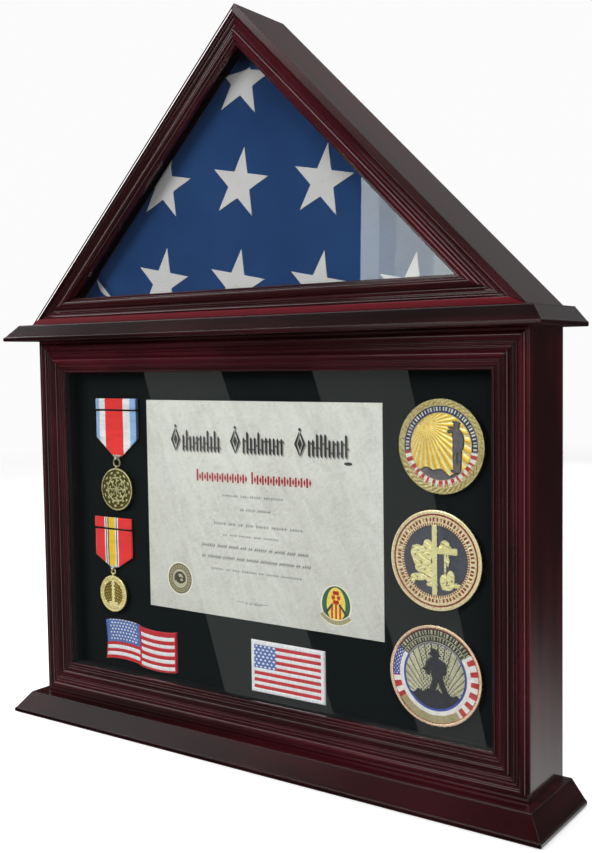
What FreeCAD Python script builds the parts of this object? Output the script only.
"""Folded flag display case: a triangular flag case standing on a glazed shadow box with a moulded base.

Every separate piece is one STEP file. X is the width, Y runs from front to back and Z is up.
Sub-parts are drawn with Y = 0 on the shadow box's front plane and moved to the row frame when saved,
so that the origin is the middle of the footprint, on the surface that the base stands on.
"""
import FreeCAD
import Part
import math
import os

# ---- Driving dimensions, millimetres ----
case_width = 432.0
case_depth = 53.0
wall = 14.0

base_height = 16.0
box_height = 292.5
shelf_height = 13.0
roof_half_width = 217.0
roof_wall = 12.0

base_side_flat = 6.0
base_front_flat = 12.4
shelf_side_flat = 7.6
shelf_front_flat = 13.7
base_moulding_width = 10.6
shelf_moulding_width = 9.3
moulding_lip = 3.4
moulding_round = 0.9

frame_width = 26.0
frame_band_back = 3.0
glass_thickness = 2.0
glass_play = 0.3
glass_bite = 4.0
display_lip_back = 4.4
recess_depth = 16.0
felt_thickness = 0.8
board_thickness = 3.2
cleat = 8.0

flag_frame_width = 20.0
flag_band_back = -2.0
flag_lip_back = -1.5
flag_glass_bite = 3.5

rabbet_width = 6.0
roof_rabbet_width = 6.0
rabbet_depth = 4.0
panel_thickness = 3.8
fit_gap = 0.3

button_width = 6.0
button_reach = 12.0
button_thickness = 1.5
screw_radius = 1.4
button_hole_radius = 1.47
screw_head_radius = 2.4
screw_head_height = 1.4
screw_length = 9.0

# ---- Levels and planes that follow from them ----
half_width = case_width / 2
box_bottom = base_height
box_top = box_bottom + box_height
roof_bottom = box_top + shelf_height
roof_apex = roof_bottom + roof_half_width
felt_front = recess_depth
board_front = felt_front + felt_thickness
board_back = board_front + board_thickness
panel_front = case_depth - rabbet_depth
button_front = case_depth + fit_gap
button_back = button_front + button_thickness
head_front = button_back + fit_gap
screw_back = head_front + screw_head_height
overall_front = -(base_front_flat + base_moulding_width)
row_shift = -(overall_front + screw_back) / 2


def vec(x, y, z):
    return FreeCAD.Vector(x, y, z)


def save(name, shape):
    """Write one sub-part in the row frame."""
    placed = shape.copy()
    placed.translate(vec(0, row_shift, 0))
    placed.exportStep(os.path.join("parts", name + ".step"))


def group(shapes):
    return Part.makeCompound(shapes)


def block(x_low, x_high, y_low, y_high, z_low, z_high):
    return Part.makeBox(x_high - x_low, y_high - y_low, z_high - z_low, vec(x_low, y_low, z_low))


def rod(radius, length, start, direction=(0, 1, 0)):
    return Part.makeCylinder(radius, length, vec(*start), vec(*direction))


def outline(place, start, steps):
    """Closed wire; a step is (u, v) for a straight run or (mid_u, mid_v, u, v) for an arc."""
    edges = []
    here = start
    for step in steps + [start]:
        end = step[-2:]
        if len(step) == 4:
            edges.append(Part.Arc(place(*here), place(*step[:2]), place(*end)).toShape())
        else:
            edges.append(Part.makeLine(place(*here), place(*end)))
        here = end
    return Part.Wire(edges)


def slab(points, y_low, y_high):
    """Straight-sided plate: XZ corner points carried from y_low to y_high."""
    wire = Part.makePolygon([vec(x, y_low, z) for x, z in points + points[:1]])
    return Part.Face(wire).extrude(vec(0, y_high - y_low, 0))


# ---- Mitred rings of rails around a polygon in the XZ plane ----
def inward_normals(polygon):
    """Unit normals of an anticlockwise XZ polygon, pointing inside."""
    normals = []
    for (x0, z0), (x1, z1) in zip(polygon, polygon[1:] + polygon[:1]):
        run = math.hypot(x1 - x0, z1 - z0)
        normals.append((-(z1 - z0) / run, (x1 - x0) / run))
    return normals


def inset(polygon, distance):
    normals = inward_normals(polygon)
    moved = []
    for index, (x, z) in enumerate(polygon):
        (ax, az), (bx, bz) = normals[index - 1], normals[index]
        scale = distance / (1 + ax * bx + az * bz)
        moved.append((x + (ax + bx) * scale, z + (az + bz) * scale))
    return moved


def footprints(polygon, outer_inset, inner_inset):
    """One mitred four-corner footprint for each side of the polygon."""
    outer = inset(polygon, outer_inset)
    inner = inset(polygon, inner_inset)
    count = len(polygon)
    return [[outer[i], outer[(i + 1) % count], inner[(i + 1) % count], inner[i]] for i in range(count)]


def strip_ring(polygon, outer_inset, inner_inset, y_low, y_high):
    """Plain rectangular strips with mitred ends."""
    return [slab(points, y_low, y_high) for points in footprints(polygon, outer_inset, inner_inset)]


def moulding_ring(polygon, width, start, steps):
    """Moulded rails with mitred ends; the section is (distance in from the outer edge, Y)."""
    rails = []
    reach = 60.0
    normals = inward_normals(polygon)
    for index, points in enumerate(footprints(polygon, 0, width)):
        (x0, z0), (x1, z1) = points[:2]
        nx, nz = normals[index]
        section = outline(lambda t, y: vec(x0 + nx * t, y, z0 + nz * t), start, steps)
        bar = Part.Face(section).extrude(vec(x1 - x0, 0, z1 - z0))
        rails.append(bar.common(slab(points, -reach, reach)))
    return rails


box_outline = [(-half_width, box_bottom), (half_width, box_bottom), (half_width, box_top), (-half_width, box_top)]
roof_outline = [(-roof_half_width, roof_bottom), (roof_half_width, roof_bottom), (0, roof_apex)]


# ---- Base and shelf: a board with a sloped moulding on its front and two sides ----
def edge_moulding_steps(width, height):
    """Section of the sloped edge moulding: (outward, up), starting at the board's lower edge."""
    bend = moulding_round * (1 - math.sqrt(0.5))
    low, high = moulding_round, moulding_lip - moulding_round
    return [
        (width - moulding_round, 0),
        (width - bend, bend, width, low),
        (width, high),
        (width - bend, moulding_lip - bend, width - moulding_round, moulding_lip),
        (moulding_round, height - moulding_round),
        (moulding_round * 0.55, height - bend * 0.9, 0, height),
    ]


def edge_mouldings(x_edge, y_edge, z_low, width, height):
    """Left, front and right strips, mitred at the two front corners."""
    steps = edge_moulding_steps(width, height)
    tall = height + 1
    strips = {}
    for name, sign in (("left", -1), ("right", 1)):
        section = outline(lambda u, z: vec(sign * (x_edge + u), case_depth, z_low + z), (0, 0), steps)
        length = case_depth - y_edge + width
        bar = Part.Face(section).extrude(vec(0, -length, 0))
        corners = [(x_edge, case_depth), (x_edge + width, case_depth), (x_edge + width, y_edge - width), (x_edge, y_edge)]
        strips[name] = bar.common(plan_prism([(sign * x, y) for x, y in corners], z_low, tall))
    section = outline(lambda u, z: vec(-x_edge - width, y_edge - u, z_low + z), (0, 0), steps)
    bar = Part.Face(section).extrude(vec(2 * (x_edge + width), 0, 0))
    corners = [(-x_edge, y_edge), (x_edge, y_edge), (x_edge + width, y_edge - width), (-x_edge - width, y_edge - width)]
    strips["front"] = bar.common(plan_prism(corners, z_low, tall))
    return strips


def plan_prism(corners, z_low, height):
    wire = Part.makePolygon([vec(x, y, z_low) for x, y in corners + corners[:1]])
    return Part.Face(wire).extrude(vec(0, 0, height))


def save_base():
    x_edge = half_width + base_side_flat
    board = block(-x_edge, x_edge, -base_front_flat, case_depth, 0, base_height)
    for x, y in base_screw_places:
        board = board.cut(base_screw(x, y)).cut(sink(x, y, 0))
    save("base_board", board)
    strips = edge_mouldings(x_edge, -base_front_flat, 0, base_moulding_width, base_height)
    for side, strip in strips.items():
        save("base_moulding_" + side, strip)


def save_shelf():
    x_edge = half_width + shelf_side_flat
    board = block(-x_edge, x_edge, -shelf_front_flat, case_depth, box_top, roof_bottom)
    for x, y in shelf_screw_places:
        board = board.cut(shelf_screw(x, y))
    save("shelf_board", board)
    strips = edge_mouldings(x_edge, -shelf_front_flat, box_top, shelf_moulding_width, shelf_height)
    for side, strip in strips.items():
        save("shelf_moulding_" + side, strip)


# ---- Wood screws hidden in the carcass ----
wood_screw_radius = 1.75
wood_screw_head_radius = 3.4
wood_screw_head_height = 2.4
base_screw_length = 34.0
shelf_screw_length = 34.0
head_sink = 0.6
base_screw_places = [(x, y) for x in (-209.0, 209.0) for y in (14.0, 42.0)]
shelf_screw_places = [(x, y) for x in (-120.0, 120.0) for y in (14.0, 42.0)]


def wood_screw(x, y, z, length):
    """Countersunk screw pointing up, with its head's face at z."""
    head = Part.makeCone(wood_screw_head_radius, wood_screw_radius, wood_screw_head_height, vec(x, y, z))
    shank = rod(wood_screw_radius, length - wood_screw_head_height, (x, y, z + wood_screw_head_height), (0, 0, 1))
    return head.fuse(shank).removeSplitter()


def base_screw(x, y):
    return wood_screw(x, y, head_sink, base_screw_length)


def shelf_screw(x, y):
    return wood_screw(x, y, box_top - wall + head_sink, shelf_screw_length)


def sink(x, y, z):
    """Clearance under a sunk screw head."""
    return rod(wood_screw_head_radius, head_sink, (x, y, z), (0, 0, 1))


def save_wood_screws():
    save("base_screws", group([base_screw(x, y) for x, y in base_screw_places]))
    save("shelf_screws", group([shelf_screw(x, y) for x, y in shelf_screw_places]))


# ---- Shadow box carcass ----
def rear_rabbet(polygon, width):
    """The step cut round the rear opening that the back panel lies in."""
    return slab(inset(polygon, width), panel_front, case_depth + 1)


def save_box_carcass():
    inner = half_width - wall
    rabbet = rear_rabbet(box_outline, rabbet_width)
    for side, sign in (("left", -1), ("right", 1)):
        low, high = sorted((sign * inner, sign * half_width))
        board = block(low, high, frame_band_back, case_depth, box_bottom, box_top).cut(rabbet)
        for x, y in base_screw_places:
            board = board.cut(base_screw(x, y))
        save("box_side_" + side, board.cut(group([turn_screw(*place) for place in box_buttons])))
    bottom = block(-inner, inner, frame_band_back, case_depth, box_bottom, box_bottom + wall).cut(rabbet)
    save("box_bottom_board", bottom)
    top = block(-inner, inner, frame_band_back, case_depth, box_top - wall, box_top).cut(rabbet)
    for x, y in shelf_screw_places:
        top = top.cut(shelf_screw(x, y)).cut(sink(x, y, box_top - wall))
    save("box_top_board", top)


# ---- Shadow box front: four moulded rails with two beads, two small reeds and a lip ----
display_section_start = (0, frame_band_back)
display_section_steps = [
    (0, 0.8), (0.23, 0.23, 0.8, 0),
    (2.2, 0), (2.2, 0.7), (5.0, -1.3, 7.8, 0.7),
    (8.4, 0.7), (9.15, -0.05, 9.9, 0.7),
    (10.6, 0.7), (11.35, -0.05, 12.1, 0.7),
    (13.2, 0.95, 13.7, 1.6), (16.35, -0.5, 19.0, 1.6),
    (20.2, 1.6), (20.95, 0.85, 21.7, 1.6),
    (22.6, 1.6), (23.35, 1.85, 23.6, 2.6),
    (24.3, 2.6), (25.15, 1.5, frame_width, 2.2),
    (frame_width, display_lip_back), (frame_width - glass_bite, display_lip_back),
    (frame_width - glass_bite, felt_front), (wall + 0.2, felt_front), (wall + 0.2, frame_band_back),
]


def save_display_front():
    names = ["front_rail_bottom", "front_stile_right", "front_rail_top", "front_stile_left"]
    rails = moulding_ring(box_outline, frame_width, display_section_start, display_section_steps)
    for name, rail in zip(names, rails):
        save(name, rail)
    glass_back = display_lip_back + glass_thickness
    glass_inset = frame_width - glass_bite + glass_play
    save("display_glass", slab(inset(box_outline, glass_inset), display_lip_back, glass_back))
    spacers = strip_ring(box_outline, glass_inset, frame_width - 0.2, glass_back, felt_front)
    for name, spacer in zip(["spacer_bottom", "spacer_right", "spacer_top", "spacer_left"], spacers):
        save(name, spacer)


# ---- Felt-faced display board, its cleats and the rear panel ----
def save_display_back():
    board_outline = inset(box_outline, wall + fit_gap)
    save("display_felt", slab(board_outline, felt_front, board_front))
    save("display_board", slab(board_outline, board_front, board_back))
    cleats = strip_ring(box_outline, wall, wall + cleat, board_back, board_back + cleat)
    save("board_cleats", group(cleats))
    panel_outline = inset(box_outline, rabbet_width + fit_gap)
    save("display_back_panel", slab(panel_outline, panel_front, panel_front + panel_thickness))


# ---- Triangular flag case ----
flag_section_start = (0, flag_band_back)
flag_section_steps = [
    (0, -5.6), (4.2, -8.4), (4.7, -8.4), (5.9, -6.1, 8.1, -5.6),
    (8.1, -6.2), (8.7, -6.2), (9.9, -5.3, 11.6, -5.3), (15.0, -8.2, 18.3, -5.6),
    (18.3, -5.0), (19.6, -5.0), (flag_frame_width, -4.6),
    (flag_frame_width, flag_lip_back), (flag_frame_width - flag_glass_bite, flag_lip_back),
    (flag_frame_width - flag_glass_bite, flag_lip_back + glass_thickness),
    (roof_wall + 0.2, flag_lip_back + glass_thickness), (roof_wall + 0.2, flag_band_back),
]
flag_stop_depth = 4.0
flag_stop_inset = 18.0


def save_flag_case():
    rabbet = rear_rabbet(roof_outline, roof_rabbet_width)
    screws = group([turn_screw(*place) for place in roof_buttons])
    boards = strip_ring(roof_outline, 0, roof_wall, flag_band_back, case_depth)
    names = ["flag_case_floor", "flag_case_roof_right", "flag_case_roof_left"]
    for name, board in zip(names, boards):
        board = board.cut(rabbet).cut(screws)
        if name == "flag_case_floor":
            board = board.cut(group([shelf_screw(x, y) for x, y in shelf_screw_places]))
        save(name, board)
    names = ["flag_frame_bottom", "flag_frame_right", "flag_frame_left"]
    rails = moulding_ring(roof_outline, flag_frame_width, flag_section_start, flag_section_steps)
    for name, rail in zip(names, rails):
        save(name, rail)
    glass_inset = flag_frame_width - flag_glass_bite + glass_play
    glass_back = flag_lip_back + glass_thickness
    save("flag_glass", slab(inset(roof_outline, glass_inset), flag_lip_back, glass_back))
    stops = strip_ring(roof_outline, roof_wall, flag_stop_inset, glass_back, glass_back + flag_stop_depth)
    save("flag_glass_stops", group(stops))
    panel_outline = inset(roof_outline, roof_rabbet_width + fit_gap)
    save("flag_back_panel", slab(panel_outline, panel_front, panel_front + panel_thickness))


# ---- Folded flag ----
flag_front = 8.0
flag_back = 46.0
flag_inset = 15.0
flag_edge_round = 6.0


def save_folded_flag():
    flag = slab(inset(roof_outline, flag_inset), flag_front, flag_back)
    rim = [edge for edge in flag.Edges if abs(edge.BoundBox.YMin - flag_front) < 0.01 and edge.BoundBox.YLength < 0.01]
    save("folded_flag", flag.makeFillet(flag_edge_round, rim))


# ---- Turn buttons that hold the two rear panels, one screw each: (pivot x, pivot z, angle of the tab) ----
button_rim = 4.4
roof_button_rim = 3.9
box_button_heights = (box_bottom + 0.25 * box_height, box_bottom + 0.75 * box_height)


def roof_place(sign):
    """Middle of a sloped roof board, on its rear rim."""
    shift = roof_button_rim / math.sqrt(2)
    return (sign * (roof_half_width / 2 - shift), roof_bottom + roof_half_width / 2 - shift, 90 + sign * 135)


box_buttons = [(sign * (half_width - button_rim), z, 90 + sign * 90)
               for sign in (-1, 1) for z in box_button_heights]
roof_buttons = [roof_place(-1), roof_place(1), (0, roof_bottom + roof_button_rim, 90)]


def turn_screw(x, z, angle):
    """Pan-head screw with a crossed slot, its shank running forward into the wood."""
    head = rod(screw_head_radius, screw_head_height, (x, head_front, z))
    head = head.makeFillet(0.6, [edge for edge in head.Edges if edge.BoundBox.YMin > screw_back - 0.01])
    slot_depth, slot_length, slot_width = 0.7, 1.9, 0.4
    for reach_x, reach_z in ((slot_length, slot_width), (slot_width, slot_length)):
        head = head.cut(block(x - reach_x, x + reach_x, screw_back - slot_depth, screw_back + 1,
                              z - reach_z, z + reach_z))
    shank = rod(screw_radius, screw_length + head_front - case_depth, (x, case_depth - screw_length, z))
    return head.fuse(shank).removeSplitter()


def turn_button(x, z, angle):
    """Flat tab with round ends, pivoting on its screw."""
    radius = button_width / 2
    start = (0, radius)
    steps = [(-radius, 0, 0, -radius), (button_reach, -radius), (button_reach + radius, 0, button_reach, radius)]
    tab = Part.Face(outline(lambda u, v: vec(u, 0, v), start, steps)).extrude(vec(0, button_thickness, 0))
    tab = tab.makeFillet(0.35, [edge for edge in tab.Edges if edge.BoundBox.YMin > button_thickness - 0.01])
    tab = tab.cut(rod(button_hole_radius, button_thickness, (0, 0, 0)))
    tab.rotate(vec(0, 0, 0), vec(0, -1, 0), angle)
    tab.translate(vec(x, button_front, z))
    return tab


def save_turn_buttons():
    places = box_buttons + roof_buttons
    for number, place in enumerate(places, start=1):
        save("turn_button_%d" % number, turn_button(*place))
    save("turn_button_screws", group([turn_screw(*place) for place in places]))


# ---- Keepsakes on the display board ----
certificate_box = (-110.5, 104.5, 97.5, 260.5)
certificate_thickness = 0.4
coin_thickness = 3.2
coin_rim_width = 2.4
coin_rim_height = 0.5
coins = {"coin_upper": (149.5, 232.8, 31.0), "coin_middle": (145.2, 158.0, 33.2), "coin_lower": (144.2, 81.0, 33.8)}
patch_thickness = 1.5
flag_patch_box = (-10.0, 56.0, 45.0, 84.0)
wavy_patch_box = (-161.0, -83.5, 46.5, 79.0)
wave_height = 2.2


def save_certificate():
    x_low, x_high, z_low, z_high = certificate_box
    save("certificate", block(x_low, x_high, felt_front - certificate_thickness, felt_front, z_low, z_high))


def rimmed_disc(radius, thickness, rim_width, rim_height, x, y_back, z):
    """Struck disc whose front has a raised rim."""
    disc = rod(radius, thickness, (x, y_back - thickness, z))
    field = rod(radius - rim_width, rim_height, (x, y_back - thickness, z))
    return disc.cut(field)


def save_coins():
    for name, (x, z, radius) in coins.items():
        save(name, rimmed_disc(radius, coin_thickness, coin_rim_width, coin_rim_height, x, felt_front, z))


def save_patches():
    x_low, x_high, z_low, z_high = flag_patch_box
    y_low = felt_front - patch_thickness
    save("flag_patch", block(x_low, x_high, y_low, felt_front, z_low, z_high))
    x_low, x_high, z_low, z_high = wavy_patch_box
    quarter = (x_high - x_low) / 4
    crest, trough = wave_height, -wave_height
    steps = [
        (x_low + quarter, z_low + crest, x_low + 2 * quarter, z_low),
        (x_high - quarter, z_low + trough, x_high, z_low),
        (x_high, z_high),
        (x_high - quarter, z_high + trough, x_low + 2 * quarter, z_high),
        (x_low + quarter, z_high + crest, x_low, z_high),
    ]
    wire = outline(lambda x, z: vec(x, y_low, z), (x_low, z_low), steps)
    save("wavy_flag_patch", Part.Face(wire).extrude(vec(0, patch_thickness, 0)))


# ---- Medals: a brooch bar, a ribbon with a sewn loop, and a disc that swings on its ring ----
# name: (centre x, ribbon top z, ribbon width, straight length, ribbon length, disc radius, ring radius)
medals = {
    "upper": (-142.0, 261.3, 46.0, 31.5, 46.8, 17.0, 3.4),
    "lower": (-148.6, 164.8, 41.0, 31.5, 40.6, 14.8, 2.2),
}
ribbon_thickness = 1.2
ribbon_tip = 9.0
brooch_thickness = 1.0
brooch_height = 7.0
brooch_drop = 3.0
loop_inner_radius = 1.2
loop_outer_radius = 1.8
loop_length = 2.4
wire_radius = 0.6
disc_thickness = 2.4
disc_rim_width = 1.3
disc_rim_height = 0.4
lug_radius = 1.3
lug_length = 1.6
neck_depth = 1.4
medal_ribbon_front = felt_front - brooch_thickness - ribbon_thickness
medal_axis_y = medal_ribbon_front - 0.6


def medal_ribbon(x, top, width, straight, length):
    """Pointed ribbon; the loop sewn at its tip runs along X and carries the ring."""
    half, tip = width / 2, ribbon_tip / 2
    corners = [(x - half, top), (x - half, top - straight), (x - tip, top - length),
               (x + tip, top - length), (x + half, top - straight), (x + half, top)]
    cloth = slab(corners, medal_ribbon_front, medal_ribbon_front + ribbon_thickness)
    loop_z = top - length - loop_outer_radius + 0.5
    start = (x - loop_length / 2, medal_axis_y, loop_z)
    loop = rod(loop_outer_radius, loop_length, start, (1, 0, 0))
    stitched = cloth.fuse(loop).cut(rod(loop_inner_radius, loop_length, start, (1, 0, 0)))
    return stitched.removeSplitter(), loop_z


def medal_pendant(x, ring_z, ring_radius, radius):
    """Ring and disc; the disc's lug is closed round the lowest part of the ring."""
    ring = Part.makeTorus(ring_radius, wire_radius, vec(x, medal_axis_y, ring_z), vec(0, 1, 0))
    disc_top = ring_z - ring_radius - lug_radius + 0.2
    disc_z = disc_top - radius
    y_back = medal_axis_y + disc_thickness / 2
    disc = rimmed_disc(radius, disc_thickness, disc_rim_width, disc_rim_height, x, y_back, disc_z)
    half_length, half_depth = lug_length / 2, neck_depth / 2
    lug = rod(lug_radius, lug_length, (x - half_length, medal_axis_y, ring_z - ring_radius), (1, 0, 0))
    neck = block(x - half_length, x + half_length, medal_axis_y - half_depth, medal_axis_y + half_depth,
                 disc_top - 1.2, disc_top + 0.6)
    return ring, disc.fuse([lug, neck]).cut(ring).removeSplitter()


def save_medals():
    for name, (x, top, width, straight, length, radius, ring_radius) in medals.items():
        ribbon, loop_z = medal_ribbon(x, top, width, straight, length)
        ring, disc = medal_pendant(x, loop_z - ring_radius, ring_radius, radius)
        save("medal_ribbon_" + name, ribbon)
        save("medal_ring_" + name, ring)
        save("medal_disc_" + name, disc)
        save("medal_brooch_" + name, block(x - width / 2 + 1, x + width / 2 - 1, felt_front - brooch_thickness,
                                           felt_front, top - brooch_drop - brooch_height, top - brooch_drop))


def main():
    os.makedirs("parts", exist_ok=True)
    save_base()
    save_box_carcass()
    save_display_front()
    save_display_back()
    save_shelf()
    save_flag_case()
    save_folded_flag()
    save_wood_screws()
    save_turn_buttons()
    save_certificate()
    save_coins()
    save_patches()
    save_medals()


main()
